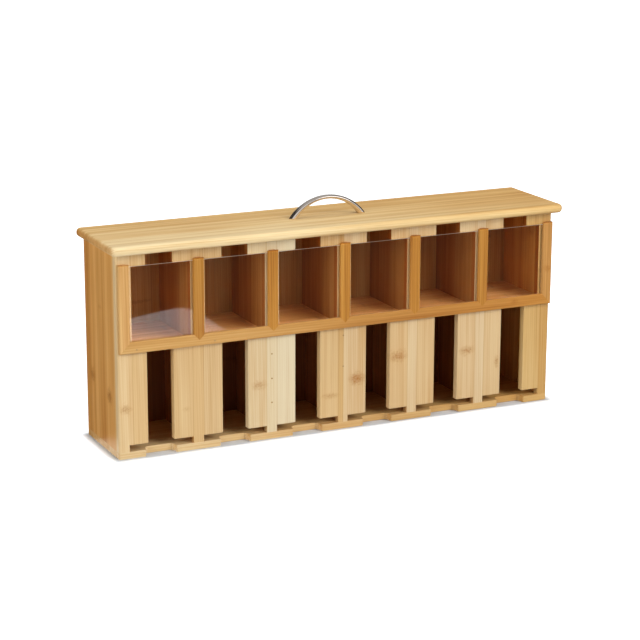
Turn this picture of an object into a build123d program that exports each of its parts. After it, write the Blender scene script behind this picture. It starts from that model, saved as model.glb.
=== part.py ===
"""Bamboo tea bag dispenser with six columns, a hinged lid and sliding clear windows.

Units are millimetres, +Z is up. X runs along the box, the front faces -Y, and the
origin is the middle of the underside of the base board.
"""
from build123d import *
from math import cos, radians, sin
import os

os.makedirs("parts", exist_ok=True)

# ---------------------------------------------------------------- driving sizes
# Case
case_width = 504.0           # over the side panels
case_depth = 94.0            # front of the planks to the back of the back panel
case_height = 214.0          # underside of the base board to the underside of the lid
base_thickness = 7.5
base_arris = 1.0             # rounding of the underside's front and side edges
side_thickness = 8.0
back_thickness = 7.0
plank_thickness = 7.5
upper_divider_thickness = 16.0   # flush with the posts behind the stiles
lower_divider_thickness = 6.0
shelf_thickness = 6.0
divider_drop = 2.0           # top of the upper dividers below the top of the case

# Columns and the openings between the planks
column_count = 6
end_plank_width = 31.9       # first and last plank, beside their slots
slot_width = 28.45           # finger slot, and the notch under the lid
slit_height = 7.2            # bag slit above the base board
stem_width = 11.7            # plank foot between two slits
post_width = 16.0            # plank behind a window stile
sill_height = 118.0          # underside of the panes and top of the shelf
head_height = 13.2           # plank above the windows
plank_arris = 0.8            # rounding of the planks' front edges
case_corner_radius = 2.5     # rounding of the upright front corners

# Finger cut-outs in the front edge of the base board
cutout_width = 33.0
cutout_depth = 10.0
cutout_inner_radius = 6.0
cutout_mouth_radius = 2.0

# Window frame
frame_thickness = 5.0        # how far the rail and the stiles stand proud of the planks
frame_inset = 1.0            # ends of the frame from the sides of the case
rail_height = 12.0
rail_cover = 6.0             # rail above the underside of the panes
stile_width = 12.0
stile_rise = 2.5             # stiles above the underside of the plank heads
stile_arris = 1.8
rail_arris = 0.8
groove_depth = 2.5           # pane groove, measured out from the planks
groove_reach = 3.0           # pane groove into each side of a stile

# Panes
pane_thickness = 2.0
pane_side_clearance = 0.4

# Lid
lid_thickness = 9.5
lid_front_overhang = 12.4
lid_side_overhang = 7.5
lid_corner_radius = 6.0
lid_edge_radius = 4.3

# Bow handle
handle_span = 88.5           # over the two feet
handle_rise = 22.7           # crown above the lid
handle_crown_thickness = 4.4
handle_foot_length = 9.0
handle_width = 7.5
handle_rounding = 1.8
handle_screw_inset = 4.2     # screw centre from the outer end of a foot
handle_screw_radius = 1.25
handle_screw_head_radius = 2.5
handle_screw_head_height = 1.25
handle_screw_grip = 2.6      # thread inside a foot

# Hinges
hinge_offset = 150.0         # hinge centre from the middle of the case
hinge_length = 26.0
leaf_thickness = 0.9
leaf_depth = 6.0             # leaf in from the back of the case
mortise_clearance = 0.1
leaf_gap = 0.05              # each leaf from the plane where the lid meets the case
barrel_radius = 2.0
barrel_gap = 0.2             # barrel clear of the back of the case
knuckle_count = 5
knuckle_gap = 0.3
pin_radius = 0.8
pin_running_clearance = 0.05
pin_head_radius = 1.3
pin_head_length = 0.7
lid_open_angle = 104.0
stop_gap = 0.3               # tail clear of the back panel at the open limit
hinge_screw_spacing = 15.0
hinge_screw_radius = 0.8
hinge_screw_head_radius = 1.6
hinge_screw_head_height = 0.7
hinge_screw_length = 6.5
screw_clearance = 0.05

# Brads
brad_radius = 0.5
brad_head_radius = 0.9
brad_head_height = 0.8
plank_brad_length = 18.0
rail_brad_length = 11.5
third_plank_brad_drops = (19.6, 46.2, 72.2)   # below the underside of the shelf
fourth_plank_brad_drops = (9.2, 43.0)
rail_brad_insets = (19.2, 103.9)          # from the left side of the case
rail_brad_rise = 3.5                      # above the underside of the rail

# ---------------------------------------------------------------- derived sizes
half_width = case_width / 2
front_y = -case_depth / 2
plank_back_y = front_y + plank_thickness
back_y = case_depth / 2
back_inner_y = back_y - back_thickness
inner_half_width = half_width - side_thickness
slit_top = base_thickness + slit_height
head_bottom = case_height - head_height
shelf_bottom = sill_height - shelf_thickness
rail_top = sill_height + rail_cover
rail_bottom = rail_top - rail_height
stile_top = head_bottom + stile_rise
frame_front_y = front_y - frame_thickness
frame_half_width = half_width - frame_inset
lid_top = case_height + lid_thickness
lid_front_y = front_y - lid_front_overhang
lid_half_width = half_width + lid_side_overhang
lid_centre_y = (lid_front_y + back_y) / 2
column_pitch = (case_width - 2 * end_plank_width - slot_width) / (column_count - 1)
column_centres = [(n - (column_count - 1) / 2) * column_pitch for n in range(column_count)]
divider_centres = [(n - column_count / 2) * column_pitch for n in range(1, column_count)]
rail_brad_places = [(inset - half_width, rail_bottom + rail_brad_rise) for inset in rail_brad_insets]
end_stile_centre = frame_half_width - stile_width / 2
stile_centres = [-end_stile_centre] + divider_centres + [end_stile_centre]
last = column_count
plank_brad_drops = {2: third_plank_brad_drops, 3: fourth_plank_brad_drops}
plank_brad_heights = {n: [shelf_bottom - d for d in drops] for n, drops in plank_brad_drops.items()}

# Pane grooves: one box for each column, cut from the stiles and the rail
groove_spans = []
for n in range(column_count):
    groove_left = stile_centres[n] + stile_width / 2 - groove_reach
    groove_right = stile_centres[n + 1] - stile_width / 2 + groove_reach
    groove_spans.append((groove_left, groove_right))

# Hinge axis and the stop tail, which meets the back panel just past the open limit
hinge_y = back_y + barrel_radius + barrel_gap
hinge_z = case_height
open_angle = radians(lid_open_angle)
tail_reach = barrel_radius + barrel_gap - stop_gap - leaf_thickness / 2 * sin(open_angle)
tail_length = tail_reach / -cos(open_angle)
hinge_centres = {"left": -hinge_offset, "right": hinge_offset}
leaf_inner_y = back_y - leaf_depth
mortise_inner_y = leaf_inner_y - mortise_clearance
mortise_depth = leaf_thickness + leaf_gap
leaf_middle_y = back_y - leaf_depth / 2
knuckle_pitch = hinge_length / knuckle_count


def front_plane(y):
    """Plane facing the front at y, with its own X along the case and its own Y up."""
    return Plane.XZ.offset(-y)


def save(builder, name):
    """Label the finished piece and write it as one STEP file."""
    builder.part.label = name
    export_step(builder.part, f"parts/{name}.step")


def block(x_span, y_span, z_span):
    """A box between two corners, added by the block that calls it."""
    with Locations((sum(x_span) / 2, sum(y_span) / 2, sum(z_span) / 2)):
        Box(x_span[1] - x_span[0], y_span[1] - y_span[0], z_span[1] - z_span[0])


def cut_block(x_span, y_span, z_span):
    """A box between two corners, taken away by the block that calls it."""
    with Locations((sum(x_span) / 2, sum(y_span) / 2, sum(z_span) / 2)):
        Box(
            x_span[1] - x_span[0],
            y_span[1] - y_span[0],
            z_span[1] - z_span[0],
            mode=Mode.SUBTRACT,
        )


def cut_brad(x, z, face_y, length):
    """The hole for one brad driven in from face_y."""
    with Locations(Location(Plane(origin=(x, face_y, z), z_dir=(0, -1, 0)))):
        Hole(radius=brad_radius, depth=length)


def add_brad(x, z, face_y, length):
    """One brad with its head flush with face_y."""
    for radius, reach in ((brad_head_radius, brad_head_height), (brad_radius, length)):
        with BuildSketch(front_plane(face_y)) as section:
            with Locations((x, z)):
                Circle(radius)
        extrude(section.sketch, amount=-reach)


def cut_brad_head(x, z, face_y):
    """The seat for a brad's head."""
    with Locations(Location(Plane(origin=(x, face_y, z), z_dir=(0, -1, 0)))):
        Hole(radius=brad_head_radius, depth=brad_head_height)


# ---------------------------------------------------------------- base board
with BuildPart() as base_board:
    with BuildSketch():
        Rectangle(case_width, case_depth)
        front_corners = vertices().group_by(Axis.Y)[0]
        fillet(front_corners, case_corner_radius)
        with Locations(*[(x, front_y) for x in column_centres]):
            Rectangle(cutout_width, 2 * cutout_depth, mode=Mode.SUBTRACT)
        inner_corners = vertices().filter_by_position(
            Axis.Y, front_y + cutout_depth - 0.01, front_y + cutout_depth + 0.01
        )
        fillet(inner_corners, cutout_inner_radius)
        mouth_corners = [
            v
            for v in vertices().group_by(Axis.Y)[0]
            if abs(v.X) < half_width - 2 * case_corner_radius
        ]
        fillet(mouth_corners, cutout_mouth_radius)
    extrude(amount=base_thickness)
    underside = base_board.faces().sort_by(Axis.Z)[0].edges()
    fillet([e for e in underside if e.center().Y < back_y - 0.01], base_arris)
save(base_board, "base_board")

# ---------------------------------------------------------------- side and back panels
for side, outer_x in (("left", -half_width), ("right", half_width)):
    inner_x = inner_half_width if side == "right" else -inner_half_width
    with BuildPart() as side_panel:
        block(
            sorted((outer_x, inner_x)),
            (plank_back_y, back_y),
            (base_thickness, case_height),
        )
    save(side_panel, f"{side}_side_panel")

with BuildPart() as back_panel:
    block(
        (-inner_half_width, inner_half_width),
        (back_inner_y, back_y),
        (base_thickness, case_height),
    )
    for centre in hinge_centres.values():
        half_mortise = hinge_length / 2 + mortise_clearance
        cut_block(
            (centre - half_mortise, centre + half_mortise),
            (mortise_inner_y, back_y),
            (case_height - mortise_depth, case_height),
        )
        for shift in (-hinge_screw_spacing / 2, hinge_screw_spacing / 2):
            with Locations((centre + shift, leaf_middle_y, case_height)):
                Hole(radius=hinge_screw_radius, depth=hinge_screw_length)
save(back_panel, "back_panel")

# ---------------------------------------------------------------- front planks
plank_centres = [-half_width] + divider_centres + [half_width]
for n in range(column_count + 1):
    centre = plank_centres[n]
    if n == 0:
        body_span = (-half_width, column_centres[0] - slot_width / 2)
        foot_span = (-half_width, -half_width + stem_width)
        post_span = (-half_width, -half_width + post_width)
    elif n == last:
        body_span = (column_centres[-1] + slot_width / 2, half_width)
        foot_span = (half_width - stem_width, half_width)
        post_span = (half_width - post_width, half_width)
    else:
        body_span = (column_centres[n - 1] + slot_width / 2, column_centres[n] - slot_width / 2)
        foot_span = (centre - stem_width / 2, centre + stem_width / 2)
        post_span = (centre - post_width / 2, centre + post_width / 2)
    levels = (
        (foot_span, base_thickness, slit_top),
        (body_span, slit_top, sill_height),
        (post_span, sill_height, head_bottom),
        (body_span, head_bottom, case_height),
    )
    with BuildPart() as front_plank:
        with BuildSketch(front_plane(plank_back_y)):
            for span, low, high in levels:
                with Locations((sum(span) / 2, (low + high) / 2)):
                    Rectangle(span[1] - span[0], high - low)
        extrude(amount=plank_thickness)
        front_face = front_plank.faces().sort_by(Axis.Y)[0]
        uprights = front_face.edges().filter_by(Axis.Z)
        if n in (0, last):
            corner = uprights.sort_by(Axis.X)[0 if n == 0 else -1]
            fillet(corner, case_corner_radius)
            uprights = [e for e in uprights if abs(e.center().X - corner.center().X) > 0.01]
        fillet(uprights, plank_arris)
        for height in plank_brad_heights.get(n, ()):
            cut_brad(centre, height, front_y, plank_thickness)
            cut_brad_head(centre, height, front_y)
        for x, z in rail_brad_places:
            if body_span[0] < x < body_span[1]:
                cut_brad(x, z, front_y, rail_brad_length - frame_thickness)
    save(front_plank, f"front_plank_{n + 1}")

# ---------------------------------------------------------------- inside
with BuildPart() as window_shelf:
    block(
        (-inner_half_width, inner_half_width),
        (plank_back_y, back_inner_y),
        (shelf_bottom, sill_height),
    )
save(window_shelf, "window_shelf")

for n, centre in enumerate(divider_centres, start=1):
    upper_span = (centre - upper_divider_thickness / 2, centre + upper_divider_thickness / 2)
    with BuildPart() as upper_divider:
        block(upper_span, (plank_back_y, back_inner_y), (sill_height, case_height - divider_drop))
    save(upper_divider, f"upper_divider_{n}")
    lower_span = (centre - lower_divider_thickness / 2, centre + lower_divider_thickness / 2)
    with BuildPart() as lower_divider:
        block(lower_span, (plank_back_y, back_inner_y), (base_thickness, shelf_bottom))
        for height in plank_brad_heights.get(n, ()):
            cut_brad(centre, height, plank_back_y, plank_brad_length - plank_thickness)
    save(lower_divider, f"lower_divider_{n}")

# ---------------------------------------------------------------- window frame
with BuildPart() as window_rail:
    with BuildSketch(front_plane(front_y)):
        with BuildLine():
            corner_points = [(frame_half_width, rail_bottom)]
            corner_points.append((frame_half_width - stile_width, rail_top))
            for centre in reversed(divider_centres):
                corner_points.append((centre + stile_width / 2, rail_top))
                corner_points.append((centre, rail_top - stile_width / 2))
                corner_points.append((centre - stile_width / 2, rail_top))
            corner_points.append((-frame_half_width + stile_width, rail_top))
            corner_points.append((-frame_half_width, rail_bottom))
            Polyline(*corner_points, close=True)
        make_face()
    extrude(amount=frame_thickness)
    rail_face = window_rail.faces().sort_by(Axis.Y)[0]
    fillet(rail_face.edges().filter_by(Axis.X), rail_arris)
    for span in groove_spans:
        cut_block(span, (front_y - groove_depth, front_y), (sill_height, rail_top))
    for x, z in rail_brad_places:
        cut_brad(x, z, frame_front_y, frame_thickness)
        cut_brad_head(x, z, frame_front_y)
save(window_rail, "window_rail")

for n, centre in enumerate(stile_centres):
    left = centre - stile_width / 2
    right = centre + stile_width / 2
    if n == 0:
        foot_points = [(left, rail_bottom), (right, rail_top)]
    elif n == last:
        foot_points = [(left, rail_top), (right, rail_bottom)]
    else:
        foot_points = [(left, rail_top), (centre, rail_top - stile_width / 2), (right, rail_top)]
    with BuildPart() as window_stile:
        with BuildSketch(front_plane(front_y)):
            with BuildLine():
                Polyline(*foot_points, (right, stile_top), (left, stile_top), close=True)
            make_face()
        extrude(amount=frame_thickness)
        stile_face = window_stile.faces().sort_by(Axis.Y)[0]
        top_edge = stile_face.edges().sort_by(Axis.Z)[-1]
        fillet([*stile_face.edges().filter_by(Axis.Z), top_edge], stile_arris)
        for span in groove_spans[max(n - 1, 0) : n + 1]:
            cut_block(span, (front_y - groove_depth, front_y), (sill_height, stile_top))
    save(window_stile, f"window_stile_{n + 1}")

# ---------------------------------------------------------------- panes
pane_middle_y = front_y - groove_depth / 2
for n, (groove_left, groove_right) in enumerate(groove_spans, start=1):
    with BuildPart() as window_pane:
        block(
            (groove_left + pane_side_clearance, groove_right - pane_side_clearance),
            (pane_middle_y - pane_thickness / 2, pane_middle_y + pane_thickness / 2),
            (sill_height, head_bottom),
        )
    save(window_pane, f"window_pane_{n}")

# ---------------------------------------------------------------- brads
with BuildPart() as plank_brads:
    for n, heights in plank_brad_heights.items():
        for height in heights:
            add_brad(plank_centres[n], height, front_y, plank_brad_length)
save(plank_brads, "plank_brads")

with BuildPart() as rail_brads:
    for x, z in rail_brad_places:
        add_brad(x, z, frame_front_y, rail_brad_length)
save(rail_brads, "rail_brads")

# ---------------------------------------------------------------- lid
handle_screw_x = handle_span / 2 - handle_screw_inset
handle_screw_places = [(-handle_screw_x, lid_centre_y), (handle_screw_x, lid_centre_y)]

with BuildPart() as lid:
    with BuildSketch(Plane.XY.offset(case_height)):
        with Locations((0, lid_centre_y)):
            Rectangle(2 * lid_half_width, back_y - lid_front_y)
        fillet(vertices().group_by(Axis.Y)[0], lid_corner_radius)
    extrude(amount=lid_thickness)
    rim_top = lid.faces().sort_by(Axis.Z)[-1].edges()
    rim_bottom = lid.faces().sort_by(Axis.Z)[0].edges()
    rim = [e for e in rim_top + rim_bottom if e.center().Y < back_y - 0.01]
    fillet(rim, lid_edge_radius)
    for centre in hinge_centres.values():
        half_mortise = hinge_length / 2 + mortise_clearance
        cut_block(
            (centre - half_mortise, centre + half_mortise),
            (mortise_inner_y, back_y),
            (case_height, case_height + mortise_depth),
        )
        for shift in (-hinge_screw_spacing / 2, hinge_screw_spacing / 2):
            hole_origin = (centre + shift, leaf_middle_y, case_height)
            with Locations(Location(Plane(origin=hole_origin, z_dir=(0, 0, -1)))):
                Hole(radius=hinge_screw_radius, depth=hinge_screw_length)
    for x, y in handle_screw_places:
        with Locations(Location(Plane(origin=(x, y, case_height), z_dir=(0, 0, -1)))):
            CounterSinkHole(
                radius=handle_screw_radius + screw_clearance,
                counter_sink_radius=handle_screw_head_radius + screw_clearance,
                depth=lid_thickness,
            )
save(lid, "lid")

# ---------------------------------------------------------------- bow handle
with BuildPart() as handle:
    with BuildSketch(front_plane(lid_centre_y)):
        with BuildLine():
            crown = lid_top + handle_rise
            outer_end = handle_span / 2
            inner_end = outer_end - handle_foot_length
            ThreePointArc((-outer_end, lid_top), (0, crown), (outer_end, lid_top))
            Line((outer_end, lid_top), (inner_end, lid_top))
            inner_crown = crown - handle_crown_thickness
            ThreePointArc((inner_end, lid_top), (0, inner_crown), (-inner_end, lid_top))
            Line((-inner_end, lid_top), (-outer_end, lid_top))
        make_face()
    extrude(amount=handle_width / 2, both=True)
    fillet(handle.edges().filter_by(GeomType.CIRCLE), handle_rounding)
    for x, y in handle_screw_places:
        with Locations(Location(Plane(origin=(x, y, lid_top), z_dir=(0, 0, -1)))):
            Hole(radius=handle_screw_radius, depth=handle_screw_grip)
save(handle, "handle")

# ---------------------------------------------------------------- screws
def add_screw(place, up, shank_radius, head_radius, head_height, length):
    """A countersunk screw with its head flush at place, driven up or down.

    place: middle of the head's flat face. up: True where the shank points up.
    """
    way = 1 if up else -1
    x, y, z = place
    with BuildSketch(Plane(origin=(x, y, 0), x_dir=(1, 0, 0), z_dir=(0, -1, 0))) as profile:
        with BuildLine():
            Polyline(
                (0, z),
                (head_radius, z),
                (shank_radius, z + way * head_height),
                (shank_radius, z + way * (length - shank_radius)),
                (0, z + way * length),
                close=True,
            )
        make_face()
    revolve(profile.sketch, axis=Axis((x, y, 0), (0, 0, 1)))


with BuildPart() as handle_screws:
    for x, y in handle_screw_places:
        add_screw(
            (x, y, case_height),
            True,
            handle_screw_radius,
            handle_screw_head_radius,
            handle_screw_head_height,
            lid_thickness + handle_screw_grip,
        )
save(handle_screws, "handle_screws")

hinge_screw_places = [
    (centre + shift, leaf_middle_y)
    for centre in hinge_centres.values()
    for shift in (-hinge_screw_spacing / 2, hinge_screw_spacing / 2)
]
for name, head_z, up in (
    ("hinge_case_screws", case_height - leaf_gap, False),
    ("hinge_lid_screws", case_height + leaf_gap, True),
):
    with BuildPart() as hinge_screws:
        for x, y in hinge_screw_places:
            add_screw(
                (x, y, head_z),
                up,
                hinge_screw_radius,
                hinge_screw_head_radius,
                hinge_screw_head_height,
                hinge_screw_length,
            )
    save(hinge_screws, name)

# ---------------------------------------------------------------- hinges
def leaf_hole(x, up):
    """A countersunk screw hole through a leaf, its head side towards the other leaf."""
    head_z = case_height + (leaf_gap if up else -leaf_gap)
    z_dir = (0, 0, -1) if up else (0, 0, 1)
    with Locations(Location(Plane(origin=(x, leaf_middle_y, head_z), z_dir=z_dir))):
        CounterSinkHole(
            radius=hinge_screw_radius + screw_clearance,
            counter_sink_radius=hinge_screw_head_radius + screw_clearance,
            depth=leaf_thickness + 1.0,
        )


for side, centre in hinge_centres.items():
    leaf_left = centre - hinge_length / 2
    leaf_right = centre + hinge_length / 2
    for owner, first in (("case", 0), ("lid", 1)):
        on_lid = owner == "lid"
        way = 1 if on_lid else -1
        near_z = case_height + way * leaf_gap
        far_z = near_z + way * leaf_thickness
        leaf_z_span = sorted((near_z, far_z))
        bore_radius = pin_radius + (pin_running_clearance if on_lid else 0)
        with BuildPart() as hinge_leaf:
            block((leaf_left, leaf_right), (leaf_inner_y, back_y - barrel_gap), leaf_z_span)
            for k in range(first, knuckle_count, 2):
                knuckle_left = leaf_left + k * knuckle_pitch + (knuckle_gap / 2 if k else 0)
                knuckle_right = leaf_left + (k + 1) * knuckle_pitch
                if k < knuckle_count - 1:
                    knuckle_right -= knuckle_gap / 2
                knuckle_span = (knuckle_left, knuckle_right)
                block(knuckle_span, (leaf_inner_y, hinge_y), leaf_z_span)
                with BuildSketch(Plane.YZ.offset(knuckle_left)):
                    with Locations((hinge_y, hinge_z)):
                        Circle(barrel_radius)
                extrude(amount=knuckle_right - knuckle_left)
                if on_lid:
                    tail_z_span = (hinge_z - leaf_thickness / 2, hinge_z + leaf_thickness / 2)
                    block(knuckle_span, (hinge_y, hinge_y + tail_length), tail_z_span)
            with BuildSketch(Plane.YZ.offset(leaf_left)):
                with Locations((hinge_y, hinge_z)):
                    Circle(bore_radius)
            extrude(amount=hinge_length, mode=Mode.SUBTRACT)
            for shift in (-hinge_screw_spacing / 2, hinge_screw_spacing / 2):
                leaf_hole(centre + shift, on_lid)
        save(hinge_leaf, f"{side}_hinge_{owner}_leaf")

    with BuildPart() as hinge_pin:
        with BuildSketch(Plane.YZ.offset(leaf_left)):
            with Locations((hinge_y, hinge_z)):
                Circle(pin_radius)
        extrude(amount=hinge_length)
        for plane_x, reach in ((leaf_left, -pin_head_length), (leaf_right, pin_head_length)):
            with BuildSketch(Plane.YZ.offset(plane_x)):
                with Locations((hinge_y, hinge_z)):
                    Circle(pin_head_radius)
            extrude(amount=reach)
    save(hinge_pin, f"{side}_hinge_pin")

print("stop tail", round(tail_length, 3), "barrel centre", round(hinge_y, 3))
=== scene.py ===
"""Looks of a bamboo tea bag dispenser: finishes, bow handle, fasteners, floor, lamps, camera.

Lengths are in metres unless a name or comment says millimetres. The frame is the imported
model's: X along the box, the front faces -Y, Z is up, and the origin is the middle of the
underside of the base board.
"""
import logging
import math
from dataclasses import dataclass
from enum import Enum

import bpy
from mathutils import Euler, Matrix, Vector

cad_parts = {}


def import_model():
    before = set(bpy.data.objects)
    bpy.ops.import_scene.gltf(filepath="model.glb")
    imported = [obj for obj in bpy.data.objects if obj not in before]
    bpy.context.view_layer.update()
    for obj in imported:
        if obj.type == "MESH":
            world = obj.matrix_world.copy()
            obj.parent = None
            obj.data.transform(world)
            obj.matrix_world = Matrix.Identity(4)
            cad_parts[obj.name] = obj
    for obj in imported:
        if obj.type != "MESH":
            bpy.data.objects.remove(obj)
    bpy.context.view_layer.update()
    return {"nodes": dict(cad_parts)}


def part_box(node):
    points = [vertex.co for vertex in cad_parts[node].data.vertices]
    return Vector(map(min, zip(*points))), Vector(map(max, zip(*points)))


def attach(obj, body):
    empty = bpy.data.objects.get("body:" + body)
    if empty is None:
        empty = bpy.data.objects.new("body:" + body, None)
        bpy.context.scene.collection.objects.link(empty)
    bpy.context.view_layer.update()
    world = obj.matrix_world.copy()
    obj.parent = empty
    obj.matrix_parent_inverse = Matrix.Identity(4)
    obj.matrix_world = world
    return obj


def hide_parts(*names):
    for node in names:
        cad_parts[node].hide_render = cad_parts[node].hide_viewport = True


Material = bpy.types.Material
Node = bpy.types.Node
Socket = bpy.types.NodeSocket
Tree = bpy.types.NodeTree
Point = tuple[float, float, float]

MM = 0.001
COLUMN_PITCH = 82.35  # mm from one column to the next
HALF_CASE = 252.0     # mm, half of the case's length
SILL = 118.0          # mm, height of the window sill
SHELF = 6.0           # mm, thickness of the shelf under the sill
PLAIN = "FFFFFF"      # a tint that changes nothing
log = logging.getLogger("dispenser")


# ------------------------------------------------------------------ small helpers
def linear(hex_colour: str) -> tuple[float, float, float, float]:
    """Turn an sRGB hex colour into the linear colour that a shader takes.

    Args:
        hex_colour: six hex digits, such as "DEC091".

    Returns:
        Red, green, blue and an alpha of 1.
    """
    parts = [int(hex_colour[n : n + 2], 16) / 255 for n in (0, 2, 4)]
    red, green, blue = (
        part / 12.92 if part <= 0.04045 else ((part + 0.055) / 1.055) ** 2.4 for part in parts
    )
    return red, green, blue, 1.0


def add(
    tree: Tree, kind: str, inputs: dict[int | str, object] | None = None, **settings: object
) -> Node:
    """Add a node, give it its settings, and fill or link its inputs.

    Args:
        tree: tree that gets the node.
        kind: Blender's name for the node type.
        inputs: input name or number to a value, to the output socket that feeds it, or to a
            list of such sockets where the input takes several.
        settings: the node's own settings.

    Returns:
        The new node.
    """
    node = tree.nodes.new(kind)
    for name, value in settings.items():
        setattr(node, name, value)
    for key, value in (inputs or {}).items():
        for feed in value if isinstance(value, list) else [value]:
            if isinstance(feed, Socket):
                tree.links.new(feed, node.inputs[key])
            else:
                node.inputs[key].default_value = feed
    return node


def maths(tree: Tree, operation: str, *terms: object) -> Socket:
    """Give the result of one math node on these terms."""
    return add(tree, "ShaderNodeMath", dict(enumerate(terms)), operation=operation).outputs[0]


def vector_maths(tree: Tree, operation: str, *terms: object) -> Socket:
    """Give the result of one vector math node: a number where it measures, or else a vector."""
    node = add(tree, "ShaderNodeVectorMath", dict(enumerate(terms)), operation=operation)
    return node.outputs["Value" if operation in ("LENGTH", "DISTANCE", "DOT_PRODUCT") else 0]


def split(tree: Tree, vector: Socket) -> tuple[Socket, ...]:
    """Split a vector into its three parts."""
    return tuple(add(tree, "ShaderNodeSeparateXYZ", {0: vector}).outputs)


def xyz(tree: Tree, x: object, y: object, z: object) -> Socket:
    """Join three parts to a vector."""
    return add(tree, "ShaderNodeCombineXYZ", {0: x, 1: y, 2: z}).outputs[0]


def axis_mm(tree: Tree, point: Socket, axis: int) -> Socket:
    """Give one of a point's coordinates in millimetres."""
    return maths(tree, "MULTIPLY", split(tree, point)[axis], 1 / MM)


def ranged(
    tree: Tree,
    value: Socket,
    start: float,
    end: float,
    low: object = 0.0,
    high: object = 1.0,
    smooth: bool = False,
) -> Socket:
    """Carry a value from one range to another, held at both ends.

    Args:
        tree: tree that gets the node.
        value: the value.
        start, end: the range that it comes from.
        low, high: what it becomes at start and at end.
        smooth: whether it eases in and out.

    Returns:
        The carried value.
    """
    inputs = {"Value": value, "From Min": start, "From Max": end, "To Min": low, "To Max": high}
    way = "SMOOTHSTEP" if smooth else "LINEAR"
    return add(tree, "ShaderNodeMapRange", inputs, interpolation_type=way).outputs[0]


def blend(tree: Tree, share: object, first: object, second: object, kind: str = "MIX") -> Socket:
    """Mix two colours.

    Args:
        tree: tree that gets the node.
        share: 0 for the first colour alone, 1 for the full effect of the second.
        first, second: the colours.
        kind: MIX to go over to the second, MULTIPLY to tint the first with it.

    Returns:
        The mixed colour.
    """
    inputs = {0: share, 6: first, 7: second}  # 6 and 7 are the node's inputs for colours
    return add(tree, "ShaderNodeMix", inputs, data_type="RGBA", blend_type=kind).outputs[2]


def noise(tree: Tree, point: Socket, scale: float, detail: float = 2.0) -> Socket:
    """Give a cloudy value around 0.5, with about as many clouds to the metre as the scale."""
    inputs = {"Vector": point, "Scale": scale, "Detail": detail}
    return add(tree, "ShaderNodeTexNoise", inputs).outputs["Fac"]


def mapped(tree: Tree, point: Socket, scale: Point, shift: Point = (0.0, 0.0, 0.0)) -> Socket:
    """Stretch and shift the coordinates that a texture takes."""
    inputs = {"Vector": point, "Location": shift, "Scale": scale}
    return add(tree, "ShaderNodeMapping", inputs).outputs[0]


def ramp(
    tree: Tree, value: Socket, stops: list[tuple[float, str]], interpolation: str = "LINEAR"
) -> Socket:
    """Colour a value by a ramp.

    Args:
        tree: tree that gets the node.
        value: the value, from 0 to 1.
        stops: place and sRGB hex of at least two stops, in order.
        interpolation: how the ramp goes from stop to stop.

    Returns:
        The colour.
    """
    node = add(tree, "ShaderNodeValToRGB", {"Fac": value})
    node.color_ramp.interpolation = interpolation
    elements = node.color_ramp.elements
    while len(elements) < len(stops):
        elements.new(1.0)
    for element, (place, tint) in zip(elements, stops):
        element.position = place
        element.color = linear(tint)
    return node.outputs["Color"]


def bumped(tree: Tree, height: Socket, strength: float, depth_mm: float) -> Socket:
    """Give the normal of a surface that a height roughens."""
    inputs = {"Strength": strength, "Distance": depth_mm * MM, "Height": height}
    return add(tree, "ShaderNodeBump", inputs).outputs[0]


def view_rays(tree: Tree) -> tuple[Socket, Socket]:
    """Tell the camera's rays, also those through clear sheets, from the rays off mirrors.

    Args:
        tree: node tree that gets the nodes.

    Returns:
        A socket that is 1 for what is seen, and one that is 1 for what is mirrored.
    """
    path = add(tree, "ShaderNodeLightPath").outputs
    seen = maths(tree, "MAXIMUM", path["Is Camera Ray"], path["Is Transmission Ray"])
    return seen, path["Is Glossy Ray"]


def link_object(name: str, data: bpy.types.ID | None) -> bpy.types.Object:
    """Make an object with this data and put it in the scene.

    Args:
        name: the object's name.
        data: its mesh, lamp or camera.

    Returns:
        The new object.
    """
    thing = bpy.data.objects.new(name, data)
    bpy.context.scene.collection.objects.link(thing)
    return thing


# ------------------------------------------------------------------ finishes
@dataclass(frozen=True)
class Finish:
    """What every finish has: a name, and a material built from nodes."""

    name: str

    def material(self) -> Material:
        """Build the material.

        Returns:
            A material that shows this finish's surface.
        """
        material = bpy.data.materials.new(self.name)
        material.use_nodes = True
        tree = material.node_tree
        tree.nodes.clear()
        add(tree, "ShaderNodeOutputMaterial", {"Surface": self.surface(tree)})
        return material

    def surface(self, tree: Tree) -> Socket:
        """Build the nodes of the surface; each finish has its own."""
        raise NotImplementedError


class Grain(Enum):
    """The axis along which a board's fibres run, as its place in a vector."""

    ALONG_X = 0
    ALONG_Z = 2


@dataclass(frozen=True)
class Strip:
    """One glued strip of a board, up to the start of the next.

    start: millimetres across the grain where the strip starts.
    tint: sRGB hex that multiplies the board's colour.
    """

    start: float
    tint: str = PLAIN


@dataclass(frozen=True)
class Knuckle:
    """The mark where the cane had a joint: a short wavy darker band across a strip.

    across, along: its middle in millimetres, across and along the grain.
    width, height: its size in millimetres, across and along the grain.
    strength: how much of the mark's own colour shows.
    """

    across: float
    along: float
    width: float
    height: float
    strength: float


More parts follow.
